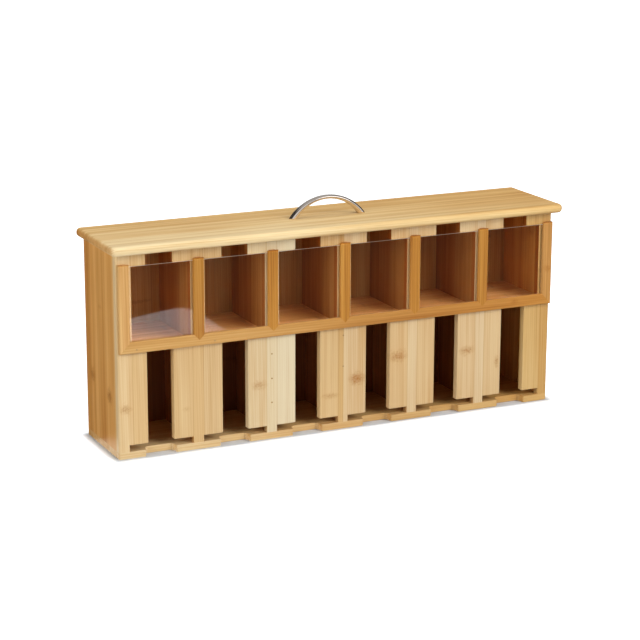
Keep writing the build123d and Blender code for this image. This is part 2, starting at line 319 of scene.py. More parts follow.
@dataclass(frozen=True)
class BambooFinish(Finish):
    """Edge-glued bamboo, planed, sanded and sprayed with clear satin lacquer.

    It gives the eye fine straight fibres, strips of slightly different tone with thin glue
    lines between them, short knuckle marks, and darker ends where the fibres are cut across.
    Where an inside tint is given, it also paints shade on the faces that look into the bins.
    """

    grain: Grain
    tones: tuple[str, str, str]     # pale, mid and deep
    seed: float                     # moves the figure, so that no two boards are alike
    strips: tuple[Strip, ...] = ()
    knuckles: tuple[Knuckle, ...] = ()
    strip_axis: int = 0             # axis along which the strips lie side by side
    strip_width: float = 24.0       # mm, where no strips are listed
    knuckle_spacing: float = 230.0  # mm along the grain, where no strips are listed
    fibre_width: float = 1.3        # mm
    line_width: float = 2.6         # mm between the regular lines of the fibre bundles
    streak_width: float = 6.0       # mm
    cloud_scale: float = 24.0       # broad clouds of tone to the metre
    fibre_stretch: float = 0.018    # how slowly fibres and streaks change along the grain
    cloud_stretch: float = 0.22     # the same for the clouds
    seed_shift: Point = (0.37, 0.53, 0.71)  # metres that a seed of 1 moves the figure
    tone_stops: tuple[float, float, float] = (0.66, 0.5, 0.33)  # figure that shows each tone
    cut_end: str = "D9BE96"         # tint of the ends
    cut_share: float = 0.75         # how much of that tint they take
    seam: str = "E6D2B4"            # tint of the glue lines
    seam_half: float = 0.5          # mm, half of a glue line's width
    mark: str = "A96C2A"            # colour of the knuckle marks
    inside: str = ""                # painted shade: tint that darkens the faces looking into the bins, if given
    inside_low: float = -1000.0     # mm, heights between which those faces look into the bins
    inside_high: float = 1000.0
    inside_way: float = 1.0         # 1 where the face towards the back looks in, -1 the other
    drift: str = ""                 # tint that the board deepens to at its right end
    drift_start: float = -200.0     # mm along the box where it sets in
    drift_end: float = 230.0
    gloss_low: float = 0.34         # roughness of the pale and of the deep parts
    gloss_high: float = 0.48
    gloss_span: tuple[float, float] = (0.35, 0.65)  # figure of the deep and of the pale parts
    bump: float = 0.25              # strength, and depth in mm

    def surface(self, tree: Tree) -> Socket:
        """Build the board: its figure, strips, knuckles, ends, gloss and bump.

        Args:
            tree: the material's tree.

        Returns:
            The bamboo's shader.
        """
        coords = add(tree, "ShaderNodeTexCoord").outputs
        point, normal = coords["Object"], coords["Normal"]
        figure = self._figure(tree, point)
        colour = ramp(tree, figure, sorted(zip(self.tone_stops, self.tones)))
        strip_tints = self._listed_strips if self.strips else self._even_strips
        for tint in strip_tints(tree, point):
            colour = blend(tree, 1.0, colour, tint, "MULTIPLY")
        if self.knuckles:
            colour = self._knuckle_marks(tree, point, colour)
        end_on = maths(tree, "ABSOLUTE", split(tree, normal)[self.grain.value])
        slanting, square = 0.5, 0.95  # how far end on a face is that shows fibres, or cut ends
        share = ranged(tree, end_on, slanting, square, 0.0, self.cut_share)
        colour = blend(tree, share, colour, linear(self.cut_end), "MULTIPLY")
        # painted shade: the faces that look into the bins are darkened by the inside tint
        if self.inside:
            share = self._painted_shade_faces(tree, point, normal)
            colour = blend(tree, share, colour, linear(self.inside), "MULTIPLY")
        if self.drift:
            share = ranged(tree, axis_mm(tree, point, 0), self.drift_start, self.drift_end)
            colour = blend(tree, share, colour, linear(self.drift), "MULTIPLY")
        gloss = ranged(tree, figure, *self.gloss_span, self.gloss_high, self.gloss_low)
        return add(
            tree, "ShaderNodeBsdfPrincipled",
            {"Base Color": colour, "Roughness": gloss, "IOR": 1.5, "Specular IOR Level": 0.4,
             "Normal": bumped(tree, figure, self.bump, self.bump)},
        ).outputs[0]

    def _figure(self, tree: Tree, point: Socket) -> Socket:
        """Mix fibres, streaks, clouds and bundle lines into one value near 0.5.

        Args:
            tree: the material's tree.
            point: object coordinates.

        Returns:
            The figure of the wood.
        """
        shift = tuple(self.seed * part for part in self.seed_shift)
        spaces = []
        for stretch in (self.fibre_stretch, self.cloud_stretch):
            scale = [1.0, 1.0, 1.0]
            scale[self.grain.value] = stretch
            spaces.append(mapped(tree, point, tuple(scale), shift))
        fine, broad = spaces
        one_band = 0.628  # the wave texture's scale for one band to the metre
        lines = add(
            tree, "ShaderNodeTexWave",
            {"Vector": fine, "Scale": one_band / (self.line_width * MM), "Distortion": 2.5,
             "Detail": 1.0, "Detail Scale": 1.2},
            bands_direction="DIAGONAL",
        ).outputs["Fac"]
        total = 0.0
        for layer, share in (
            (noise(tree, fine, 1 / (self.fibre_width * MM)), 0.24),
            (noise(tree, fine, 1 / (self.streak_width * MM)), 0.42),
            (noise(tree, broad, self.cloud_scale, 1.0), 0.28),
            (lines, 0.06),
        ):
            total = maths(tree, "MULTIPLY_ADD", layer, share, total)
        return total

    def _listed_strips(self, tree: Tree, point: Socket) -> tuple[Socket, Socket]:
        """Lay out the listed strips and the glue lines between them.

        Args:
            tree: the material's tree.
            point: object coordinates.

        Returns:
            The tint of the strips and that of the glue lines.
        """
        last_width = 30.0  # mm that the ramps run on after the last start
        low, high = self.strips[0].start, self.strips[-1].start + last_width
        place = ranged(tree, axis_mm(tree, point, self.strip_axis), low, high)
        starts = [((strip.start - low) / (high - low), strip.tint) for strip in self.strips]
        half = self.seam_half / (high - low)
        seams = [(0.0, PLAIN)]
        for start, _ in starts[1:]:
            seams += [(start - half, PLAIN), (start, self.seam), (start + half, PLAIN)]
        return ramp(tree, place, starts, "CONSTANT"), ramp(tree, place, seams)

    def _even_strips(self, tree: Tree, point: Socket) -> tuple[Socket, Socket]:
        """Lay out strips of even width, each with its own tint and knuckle marks by chance.

        Args:
            tree: the material's tree.
            point: object coordinates.

        Returns:
            The tint of the strips, and that of their glue lines and marks.
        """
        first = 40.37        # number of the strip at 0, which keeps the count above 0
        seam_width = 0.6     # mm from a strip's edge to where its glue line ends
        seam_shade = 0.78    # brightness in the middle of a glue line
        mark_wave = 6.0      # mm that a knuckle mark wanders
        mark_half = 1.6      # mm, half of a mark's height
        mark_shade = 0.16    # how much a mark darkens
        wave_scale = 260.0   # waves of a mark to the metre
        across = axis_mm(tree, point, self.strip_axis)
        along = axis_mm(tree, point, self.grain.value)
        count = maths(tree, "MULTIPLY_ADD", across, 1 / self.strip_width, first + self.seed)
        chance = add(
            tree, "ShaderNodeTexWhiteNoise", {"W": maths(tree, "FLOOR", count)},
            noise_dimensions="1D",
        ).outputs["Value"]
        tone = ramp(tree, chance, [(0.0, "EBDFCB"), (0.5, "F8F1E6"), (1.0, PLAIN)])
        edge = maths(tree, "PINGPONG", maths(tree, "FRACT", count), 0.5)
        seam = ranged(tree, edge, 0.0, seam_width / self.strip_width, seam_shade, 1.0)
        turns = maths(tree, "MULTIPLY_ADD", along, 1 / self.knuckle_spacing, chance)
        wobble = noise(tree, point, wave_scale)
        turns = maths(tree, "MULTIPLY_ADD", wobble, mark_wave / self.knuckle_spacing, turns)
        near = maths(
            tree, "COMPARE", maths(tree, "FRACT", turns), 0.5, mark_half / self.knuckle_spacing
        )
        shade = maths(tree, "SUBTRACT", seam, maths(tree, "MULTIPLY", near, mark_shade))
        grey = add(tree, "ShaderNodeCombineColor", {0: shade, 1: shade, 2: shade}).outputs[0]
        return tone, grey

    def _knuckle_marks(self, tree: Tree, point: Socket, colour: Socket) -> Socket:
        """Draw the listed knuckle marks: each a soft halo and a thin broken core.

        Args:
            tree: the material's tree.
            point: object coordinates.
            colour: colour so far.

        Returns:
            The colour with its marks.
        """
        wave = 1.8            # height of a mark's waves over its own height
        wave_scale = 420.0    # waves to the metre
        dash_scale = 700.0    # breaks in its core to the metre
        gap, solid = 0.42, 0.6  # noise where the core is broken, and where it shows
        rim, heart = 1.3, 0.1   # where its shade ends and is full, over its half size
        across = axis_mm(tree, point, self.strip_axis)
        along = axis_mm(tree, point, self.grain.value)
        waves = noise(tree, point, wave_scale)
        dashes = ranged(tree, noise(tree, point, dash_scale, 1.0), gap, solid)
        halo, core = (1.9, 0.75, 1.0), (0.42, 1.1, dashes)  # height, strength and mask
        for knuckle in self.knuckles:
            middle = -2 * knuckle.across / knuckle.width
            side = maths(tree, "MULTIPLY_ADD", across, 2 / knuckle.width, middle)
            lifted = maths(tree, "ADD", along, -knuckle.along - wave / 2 * knuckle.height)
            wavy = maths(tree, "MULTIPLY_ADD", waves, wave * knuckle.height, lifted)
            for height_share, strength_share, mask in (halo, core):
                rise = maths(tree, "MULTIPLY", wavy, 2 / (height_share * knuckle.height))
                away = vector_maths(tree, "LENGTH", xyz(tree, side, rise, 0.0))
                strength = strength_share * knuckle.strength
                mark = ranged(tree, away, rim, heart, 0.0, strength, smooth=True)
                share = maths(tree, "MULTIPLY", mark, mask)
                colour = blend(tree, share, colour, linear(self.mark))
        return colour

    def _painted_shade_faces(self, tree: Tree, point: Socket, normal: Socket) -> Socket:
        """Find the faces that look into the bins, cheeks and backs, that get the painted shade.

        Args:
            tree: the material's tree.
            point: object coordinates.
            normal: the surface's own normal.

        Returns:
            1 on those faces, and 0 elsewhere.
        """
        sideways, backwards, _ = split(tree, normal)
        cheek = maths(tree, "ABSOLUTE", sideways)
        rear = maths(tree, "MULTIPLY", backwards, self.inside_way)
        slanting, square = 0.6, 0.95  # how squarely a face looks out, or in
        share = ranged(tree, maths(tree, "MAXIMUM", cheek, rear), slanting, square)
        height = axis_mm(tree, point, 2)
        across = maths(tree, "ABSOLUTE", axis_mm(tree, point, 0))
        for value, start, end in (
            (height, self.inside_low - 1.0, self.inside_low),
            (height, self.inside_high + 1.0, self.inside_high),
            (across, HALF_CASE - 2.0, HALF_CASE - 3.0),  # the case's own ends look out
        ):
            share = maths(tree, "MULTIPLY", share, ranged(tree, value, start, end))
        return share


@dataclass(frozen=True)
class AcrylicFinish(Finish):
    """Cast acrylic sheet, laser cut: clear faces, frosted edges with a pale painted glow, faint
    wipe marks.
    """

    name: str = "clear_cast_acrylic"
    tint: str = "FBF8F6"
    shadow_tint: str = "F2F0EE"   # what the sheet lets through to the bins behind it
    painted_glow_tint: str = "E8D2B8"
    painted_edge_glow: float = 0.3        # painted glow on the edges, standing in for light the sheet pipes to them
    edge_roughness: float = 0.45
    wiped_roughness: float = 0.02
    wipe_scale: float = 45.0      # wipe marks to the metre
    wipe_span: tuple[float, float] = (0.45, 0.75)    # noise that is clear, and wiped
    facing_span: tuple[float, float] = (0.6, 0.9)    # normal of an edge, and of a face

    def surface(self, tree: Tree) -> Socket:
        """Build the clear sheet.

        Args:
            tree: the material's tree.

        Returns:
            The shader, which lets lamps through to the bins behind the sheet.
        """
        coords = add(tree, "ShaderNodeTexCoord").outputs
        facing = maths(tree, "ABSOLUTE", split(tree, coords["Normal"])[1])
        wipes = noise(tree, coords["Object"], self.wipe_scale, 3.0)
        face = ranged(tree, wipes, *self.wipe_span, 0.0, self.wiped_roughness)
        rough = ranged(tree, facing, *self.facing_span, self.edge_roughness, face)
        # painted glow: the edges emit light, though the sheet is no lamp
        glow = ranged(tree, facing, *self.facing_span, self.painted_edge_glow, 0.0)
        sheet = add(
            tree, "ShaderNodeBsdfPrincipled",
            {"Base Color": linear(self.tint), "IOR": 1.49, "Transmission Weight": 1.0,
             "Roughness": rough, "Emission Color": linear(self.painted_glow_tint),
             "Emission Strength": glow},
        ).outputs[0]
        clear = add(tree, "ShaderNodeBsdfTransparent", {"Color": linear(self.shadow_tint)})
        shadow = add(tree, "ShaderNodeLightPath").outputs["Is Shadow Ray"]
        inputs = {0: shadow, 1: sheet, 2: clear.outputs[0]}
        return add(tree, "ShaderNodeMixShader", inputs).outputs[0]


@dataclass(frozen=True)
class MetalFinish(Finish):
    """A metal with fine scratches or brush marks.

    Chrome plate is near mirror, brass and steel wire are drawn and slightly dull, and the
    brush marks give them a soft broken highlight.
    """

    tint: str
    worn_tint: str
    roughness: float
    worn_roughness: float
    mark_width: float = 0.4       # mm
    mark_stretch: Point = (0.05, 1.0, 1.0)
    mark_span: tuple[float, float] = (0.35, 0.7)     # noise of a smooth and of a marked part
    patch_scale: float = 140.0    # worn patches to the metre
    bump: float = 0.05
    bump_depth: float = 0.05      # mm

    def surface(self, tree: Tree) -> Socket:
        """Build the metal with its marks and worn patches.

        Args:
            tree: the material's tree.

        Returns:
            The metal's shader.
        """
        point = add(tree, "ShaderNodeTexCoord").outputs["Object"]
        stretched = mapped(tree, point, self.mark_stretch)
        marks = noise(tree, stretched, 1 / (self.mark_width * MM), 3.0)
        patches = noise(tree, point, self.patch_scale)
        rough = ranged(tree, marks, *self.mark_span, self.roughness, self.worn_roughness)
        return add(
            tree, "ShaderNodeBsdfPrincipled",
            {"Base Color": blend(tree, patches, linear(self.worn_tint), linear(self.tint)),
             "Roughness": rough, "Normal": bumped(tree, marks, self.bump, self.bump_depth),
             "Metallic": 1.0},
        ).outputs[0]


@dataclass(frozen=True)
class FloorFinish(Finish):
    """A matt white paper sweep, with a sheet's rounded end in front of the box.

    It shows as plain white paper and keeps the box's shadow. In mirrors, such as the panes,
    the paper ends where the sheet does, and the floor beyond it is dark.
    """

    name: str = "white_paper_sweep"
    tint: str = "DAE0E7"
    dark_tint: str = "2A2624"     # the floor beyond the sheet
    tooth_scale: float = 900.0    # bumps of the paper's tooth to the metre
    smoothest: float = 0.8        # roughness between them and on them
    roughest: float = 0.95
    fade_reach: float = 0.012     # metres from the box to where the paper is plain white
    box_half: Point = (HALF_CASE * MM, 0.047, 1.0)  # metres, half of its footprint
    sheet_right: float = 0.043    # metres, the sheet's right edge
    sheet_front: float = -0.592   # metres, its front edge where that crosses X = 0
    sheet_slope: float = 0.37
    sheet_middle: float = -0.28   # metres, Y of the middle of its round outline
    sheet_reach: float = 0.4      # metres from that middle to its far side
    sheet_corner: float = 0.05    # metres, how round its corner is
    sheet_soft: float = 0.004     # metres, half of the width of its blurred edge

    def surface(self, tree: Tree) -> Socket:
        """Build the paper.

        Args:
            tree: the material's tree.

        Returns:
            The shader, which glows for what is seen or mirrored.
        """
        point = add(tree, "ShaderNodeTexCoord").outputs["Object"]
        tooth = noise(tree, point, self.tooth_scale)
        seen, mirrored = view_rays(tree)
        folded = vector_maths(tree, "ABSOLUTE", point)
        beyond = vector_maths(tree, "SUBTRACT", folded, self.box_half)
        outside = vector_maths(tree, "MAXIMUM", beyond, (0.0, 0.0, 0.0))
        from_box = vector_maths(tree, "LENGTH", outside)
        fade = ranged(tree, from_box, 0.0, self.fade_reach, smooth=True)
        hidden = self._beyond_sheet(tree, point, mirrored)
        shown = maths(tree, "SUBTRACT", 1.0, hidden)
        glow = maths(tree, "MAXIMUM", maths(tree, "MULTIPLY", seen, fade), mirrored)
        return add(
            tree, "ShaderNodeBsdfPrincipled",
            {"Base Color": blend(tree, hidden, linear(self.tint), linear(self.dark_tint)),
             "Roughness": ranged(tree, tooth, 0.0, 1.0, self.smoothest, self.roughest),
             "Specular IOR Level": 0.1, "Emission Color": linear(PLAIN),
             "Emission Strength": maths(tree, "MULTIPLY", glow, shown)},
        ).outputs[0]

    def _beyond_sheet(self, tree: Tree, point: Socket, mirrored: Socket) -> Socket:
        """Tell, for mirrors, where the floor lies beyond the sheet.

        Args:
            tree: the material's tree.
            point: object coordinates.
            mirrored: 1 for what a mirror shows.

        Returns:
            1 beyond the sheet in a mirror, and 0 elsewhere.
        """
        x, y, _ = split(tree, point)
        slanted = maths(tree, "MULTIPLY_ADD", x, self.sheet_slope, y)
        inside = maths(tree, "SUBTRACT", slanted, self.sheet_front)
        outwards = vector_maths(tree, "DISTANCE", point, (0.0, self.sheet_middle, 0.0))
        for edge, value in ((self.sheet_right, x), (self.sheet_reach, outwards)):
            side = maths(tree, "SUBTRACT", edge, value)
            inside = maths(tree, "SMOOTH_MIN", inside, side, self.sheet_corner)
        beyond = ranged(tree, inside, -self.sheet_soft, self.sheet_soft, 1.0, 0.0)
        return maths(tree, "MULTIPLY", beyond, mirrored)


# ------------------------------------------------------------------ pieces made by node trees
@dataclass
class NodePiece:
    """A piece whose mesh comes from a geometry node tree built here."""

    name: str
    body: str
    stands_for: tuple[str, ...]
    record_slot: str

    def make(self, tree: Tree, values: dict[str, object], points: list[Point]) -> None:
        """Run the tree on the points, keep the result as a plain mesh and put it on its body.

        Args:
            tree: geometry node tree with named inputs.
            values: input name to value.
            points: places for the tree to work on.
        """
        seeds = bpy.data.meshes.new(self.name + "_places")
        seeds.from_pydata(points, [], [])
        worker = link_object(self.name + "_worker", seeds)
        modifier = worker.modifiers.new("build", "NODES")
        modifier.node_group = tree
        for item in tree.interface.items_tree:
            if item.in_out == "INPUT" and item.name in values:
                modifier[item.identifier] = values[item.name]
        worker.update_tag()
        graph = bpy.context.evaluated_depsgraph_get()
        mesh = bpy.data.meshes.new_from_object(worker.evaluated_get(graph))
        mesh.name = self.name
        worker.modifiers.remove(modifier)
        bpy.data.objects.remove(worker)
        piece = link_object(self.name, mesh)
        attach(piece, self.body)
        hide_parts(*self.stands_for)
        log.info("%s: %d faces, rides on %s", self.name, len(mesh.polygons), self.body)


def new_tree(name: str, numbers: tuple[str, ...]) -> tuple[Tree, Node]:
    """Start a geometry node tree with a geometry input, number inputs and a material input.

    Args:
        name: the tree's name.
        numbers: names of its number inputs.

    Returns:
        The tree and its input node.
    """
    tree = bpy.data.node_groups.new(name, "GeometryNodeTree")
    tree.interface.new_socket("Places", in_out="INPUT", socket_type="NodeSocketGeometry")
    for number in numbers:
        tree.interface.new_socket(number, in_out="INPUT", socket_type="NodeSocketFloat")
    tree.interface.new_socket("Finish", in_out="INPUT", socket_type="NodeSocketMaterial")
    tree.interface.new_socket("Piece", in_out="OUTPUT", socket_type="NodeSocketGeometry")
    return tree, add(tree, "NodeGroupInput")


def close_tree(tree: Tree, entry: Node, shape: Socket, turn: object = (0.0, 0.0, 0.0)) -> None:
    """End a tree: the shape stands at every place, made real and dressed.

    Args:
        tree: the geometry node tree.
        entry: its input node.
        shape: the geometry that each place gets.
        turn: how each one is turned there.
    """
    out = entry.outputs
    inputs = {"Points": out["Places"], "Instance": shape, "Rotation": turn}
    rows = add(tree, "GeometryNodeInstanceOnPoints", inputs).outputs[0]
    real = add(tree, "GeometryNodeRealizeInstances", {0: rows}).outputs[0]
    inputs = {"Geometry": real, "Material": out["Finish"]}
    add(tree, "NodeGroupOutput", {0: add(tree, "GeometryNodeSetMaterial", inputs).outputs[0]})


def raised(tree: Tree, shape: Socket, height: Socket) -> Socket:
    """Move a shape along Z."""
    inputs = {"Geometry": shape, "Translation": xyz(tree, 0.0, 0.0, height)}
    return add(tree, "GeometryNodeTransform", inputs).outputs[0]


def rod(tree: Tree, facets: int, radius: Socket, length: Socket, height: Socket) -> Socket:
    """Make an upright rod.

    Args:
        tree: tree that gets the nodes.
        facets: how many faces it has round.
        radius, length: its size.
        height: where its middle lies on Z.

    Returns:
        The rod.
    """
    inputs = {"Vertices": facets, "Radius": radius, "Depth": length}
    mesh = add(tree, "GeometryNodeMeshCylinder", inputs).outputs["Mesh"]
    return raised(tree, mesh, height)


FASTENER_SIZES = ("Head radius", "Head height", "Shank radius")  # inputs of both trees


@dataclass(frozen=True)
class Fasteners:
    """Countersunk screws with a cross recess, or flush brads, all of one size."""

    head_radius: float
    head_height: float
    shank_radius: float
    screw_facets: int = 24
    shank_facets: int = 12
    brad_facets: int = 16
    brad_waist: float = 0.92      # a brad's own shank over that radius, so that it fits in
    recess_share: float = 1.15    # length of the cross over the head's radius
    recess_width_share: float = 0.3

    def sized(self, inputs: dict[str, object]) -> dict[str, object]:
        """Add this size to the other inputs of a tree."""
        sizes = (self.head_radius, self.head_height, self.shank_radius)
        return inputs | dict(zip(FASTENER_SIZES, sizes))

    def screw_tree(self) -> Tree:
        """Build the tree for countersunk screws.

        Returns:
            The tree. Each place gets a screw whose head's face lies at the place.
        """
        numbers = (*FASTENER_SIZES, "Length", "Turn over", "Seed")
        tree, entry = new_tree("countersunk_screws", numbers)
        out = entry.outputs
        radius, depth, waist = (out[size] for size in FASTENER_SIZES)
        cone = add(
            tree, "GeometryNodeMeshCone",
            {"Vertices": self.screw_facets, "Radius Top": radius, "Radius Bottom": waist,
             "Depth": depth},
        ).outputs["Mesh"]
        sunk = maths(tree, "MULTIPLY", depth, -1.0)
        arm = maths(tree, "MULTIPLY", radius, self.recess_share)
        slim = maths(tree, "MULTIPLY", radius, self.recess_width_share)
        bars = [
            add(tree, "GeometryNodeMeshCube", {"Size": xyz(tree, x, y, depth)}).outputs["Mesh"]
            for x, y in ((arm, slim), (slim, arm))
        ]
        cross = add(tree, "GeometryNodeMeshBoolean", {"Mesh 2": bars}, operation="UNION")
        head = add(
            tree, "GeometryNodeMeshBoolean",
            {"Mesh 1": raised(tree, cone, sunk), "Mesh 2": cross.outputs["Mesh"]},
            operation="DIFFERENCE",
        ).outputs["Mesh"]
        reach = maths(tree, "SUBTRACT", out["Length"], depth)
        middle = maths(tree, "MULTIPLY_ADD", reach, -0.5, sunk)
        shank = rod(tree, self.shank_facets, waist, reach, middle)
        whole = add(tree, "GeometryNodeJoinGeometry", {0: [shank, head]}).outputs[0]
        inputs = {2: 0.0, 3: math.pi / 2, "Seed": out["Seed"]}  # 2 and 3 are its limits
        turn = add(tree, "FunctionNodeRandomValue", inputs, data_type="FLOAT").outputs[1]
        over = maths(tree, "MULTIPLY", out["Turn over"], math.pi)
        close_tree(tree, entry, whole, xyz(tree, over, 0.0, turn))
        return tree

    def brad_tree(self) -> Tree:
        """Build the tree for brads driven in from the front.

        Returns:
            The tree. Each place gets a brad whose head's face lies at the place.
        """
        tree, entry = new_tree("flush_brads", (*FASTENER_SIZES, "Length"))
        out = entry.outputs
        rods = []
        for radius, length, share in (
            ("Head radius", "Head height", 1.0), ("Shank radius", "Length", self.brad_waist),
        ):
            middle = maths(tree, "MULTIPLY", out[length], -0.5)
            waist = maths(tree, "MULTIPLY", out[radius], share)
            rods.append(rod(tree, self.brad_facets, waist, out[length], middle))
        whole = add(tree, "GeometryNodeJoinGeometry", {0: rods}).outputs[0]
        close_tree(tree, entry, whole, (math.pi / 2, 0.0, 0.0))
        return tree


@dataclass
class BowHandle:
    """The chrome bow on the lid: two arcs that meet the lid, thickest at its feet."""

    span: float = 88.5 * MM
    rise: float = 22.7 * MM
    crown_thickness: float = 4.4 * MM
    foot_length: float = 9.0 * MM
    width: float = 7.5 * MM
    corner_power: float = 2.25    # 2 is an oval profile, and more is squarer
    steps_along: int = 72
    steps_round: int = 28

    def arc(self, half_span: float, rise: float) -> tuple[float, float]:
        """Find the circle through both ends and the crown of an arc.

        Args:
            half_span: from the middle to an end.
            rise: height of the crown.

        Returns:
            The circle's radius and half of the arc's angle.
        """
        radius = (half_span**2 + rise**2) / (2 * rise)
        return radius, math.asin(half_span / radius)

    def tree(self) -> Tree:
        """Build the tree that bends a unit cylinder into the bow.

        Returns:
            The tree.
        """
        arc_names = ("Outer", "Inner")
        numbers = [f"{arc} {size}" for arc in arc_names for size in ("radius", "angle", "rise")]
        tree, entry = new_tree("bow_handle", (*numbers, "Width", "Corner power"))
        out = entry.outputs
        unit = add(
            tree, "GeometryNodeMeshCylinder",
            {"Vertices": self.steps_round, "Side Segments": self.steps_along, "Radius": 1.0,
             "Depth": 2.0},
        ).outputs["Mesh"]
        place = split(tree, add(tree, "GeometryNodeInputPosition").outputs[0])
        arcs = []
        for arc in arc_names:
            angle = maths(tree, "MULTIPLY", place[2], out[arc + " angle"])
            radius = out[arc + " radius"]
            sideways = maths(tree, "MULTIPLY", maths(tree, "SINE", angle), radius)
            fall = maths(tree, "SUBTRACT", maths(tree, "COSINE", angle), 1.0)
            dropped = maths(tree, "MULTIPLY", fall, radius)
            arcs.append((sideways, maths(tree, "ADD", dropped, out[arc + " rise"])))
        rounded = []
        for part in place[:2]:
            power = maths(tree, "DIVIDE", 2.0, out["Corner power"])
            size = maths(tree, "POWER", maths(tree, "ABSOLUTE", part), power)
            rounded.append(maths(tree, "MULTIPLY", size, maths(tree, "SIGN", part)))
        across, outward = rounded
        share = maths(tree, "MULTIPLY_ADD", outward, 0.5, 0.5)
        bow_x, bow_z = (
            maths(tree, "MULTIPLY_ADD", maths(tree, "SUBTRACT", outer, inner), share, inner)
            for outer, inner in zip(*arcs)
        )
        bow_y = maths(tree, "MULTIPLY", across, maths(tree, "MULTIPLY", out["Width"], 0.5))
        inputs = {"Geometry": unit, "Position": xyz(tree, bow_x, bow_y, bow_z)}
        bent = add(tree, "GeometryNodeSetPosition", inputs).outputs[0]
        smooth = add(tree, "GeometryNodeSetShadeSmooth", {"Geometry": bent}).outputs[0]
        close_tree(tree, entry, smooth)
        return tree

    def build(self, finish: Material) -> None:
        """Build the bow where the plain one stands.

        Args:
            finish: the chrome.
        """
        low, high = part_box("handle")
        values = {"Width": self.width, "Corner power": self.corner_power, "Finish": finish}
        for arc, half_span, rise in (
            ("Outer", self.span / 2, self.rise),
            ("Inner", self.span / 2 - self.foot_length, self.rise - self.crown_thickness),
        ):
            values[arc + " radius"], values[arc + " angle"] = self.arc(half_span, rise)
            values[arc + " rise"] = rise
        piece = NodePiece("bow_handle", "lid", ("handle",), "handle_chrome")
        seat = ((low.x + high.x) / 2, (low.y + high.y) / 2, low.z)
        piece.make(self.tree(), values, [seat])


# ------------------------------------------------------------------ sub-assemblies
@dataclass
class Dresser:
    """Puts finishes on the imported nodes."""

    nodes: dict[str, bpy.types.Object]

    def dress(self, names: list[str], finish: Material) -> None:
        """Put one material on the nodes of these names.

        Args:
            names: the nodes.
            finish: the material.
        """
        for name in names:
            for place in self.nodes[name].material_slots:
                place.material = finish
            log.info("%s: %s", name, finish.name)

    def dress_boards(self, boards: dict[str, BambooFinish]) -> None:
        """Put its own bamboo on each of these nodes."""
        for name, finish in boards.items():
            self.dress([name], finish.material())


@dataclass
class CaseShell(Dresser):
    """Base board, side panels, back, shelf and dividers."""

    divider_count: int = 5

    def finish(self) -> None:
        """Dress every board of the case."""
        side_tones = ("EAC07E", "DEAA62", "C68C46")
        self.dress_boards({
            "left_side_panel": BambooFinish(
                "bamboo_side_lacquered", Grain.ALONG_Z, side_tones, 1.3,
                (Strip(-60), Strip(-36, "FFF6E8"), Strip(-14, "F6E8D2"), Strip(10, "FFF4E4"),
                 Strip(30, "F2E0C6")),
                (Knuckle(28.6, 71, 18, 9, 0.9), Knuckle(-21.6, 61, 18, 9, 0.9),
                 Knuckle(2, 150, 12, 3, 0.25)),
                strip_axis=1, streak_width=8.0,
            ),
            "right_side_panel": BambooFinish(
                "bamboo_right_side_lacquered", Grain.ALONG_Z, side_tones, 7.9,
                (Strip(-60), Strip(-31, "F6E8D2"), Strip(-6, "FFF6E8"), Strip(21, "F4E4CC")),
                (Knuckle(-18, 186, 10, 4, 0.5), Knuckle(12, 92, 14, 4, 0.4)),
                strip_axis=1, streak_width=8.0,
            ),
            "base_board": BambooFinish(
                "bamboo_base_lacquered", Grain.ALONG_X, ("EED8B0", "E3C898", "D2AC74"), 2.1,
                (Strip(-60), Strip(-38, "FFF8EA"), Strip(-16, "FFF2DE"), Strip(12, "FAEAD2"),
                 Strip(35, "F4E2C8")),
                strip_axis=1, cut_end="F6E6CC", drift="ECD6AE",
            ),
            # painted shade: dark tones, plus a darker inside tint on the inner face below the
            # shelf, for the shade in the bins
            "back_panel": BambooFinish(
                "bamboo_back_lacquered", Grain.ALONG_Z, ("CEA66E", "C19155", "A97639"), 5.2,
                inside="B0865C", inside_high=SILL - SHELF, inside_way=-1.0,
            ),
            "window_shelf": BambooFinish(
                "bamboo_shelf_lacquered", Grain.ALONG_X, ("FCD090", "ECB270", "CC9050"), 3.6,
                strip_axis=1, strip_width=16.0, streak_width=4.0,
            ),
        })
        # painted shade: the dividers' tones are set dark, standing in for the shade inside the
        # bins
        for n in range(1, self.divider_count + 1):
            marks = (Knuckle(14, 146, 12, 6, 0.6),) if n == 4 else ()
            strips = (Strip(-60), Strip(-18 + 3 * n, "F4E3CC"), Strip(12 + 2 * n, "FBF0E0"))
            self.dress_boards({
                f"upper_divider_{n}": BambooFinish(
                    f"bamboo_upper_divider_{n}_lacquered", Grain.ALONG_Z,
                    ("BC8E58", "AA743C", "905C2A"), 10.0 + n, strips, marks, strip_axis=1,
                ),
                f"lower_divider_{n}": BambooFinish(
                    f"bamboo_lower_divider_{n}_sanded", Grain.ALONG_Z,
                    ("C08A50", "A87040", "8A5428"), 15.0 + n, strips, strip_axis=1,
                ),
            })


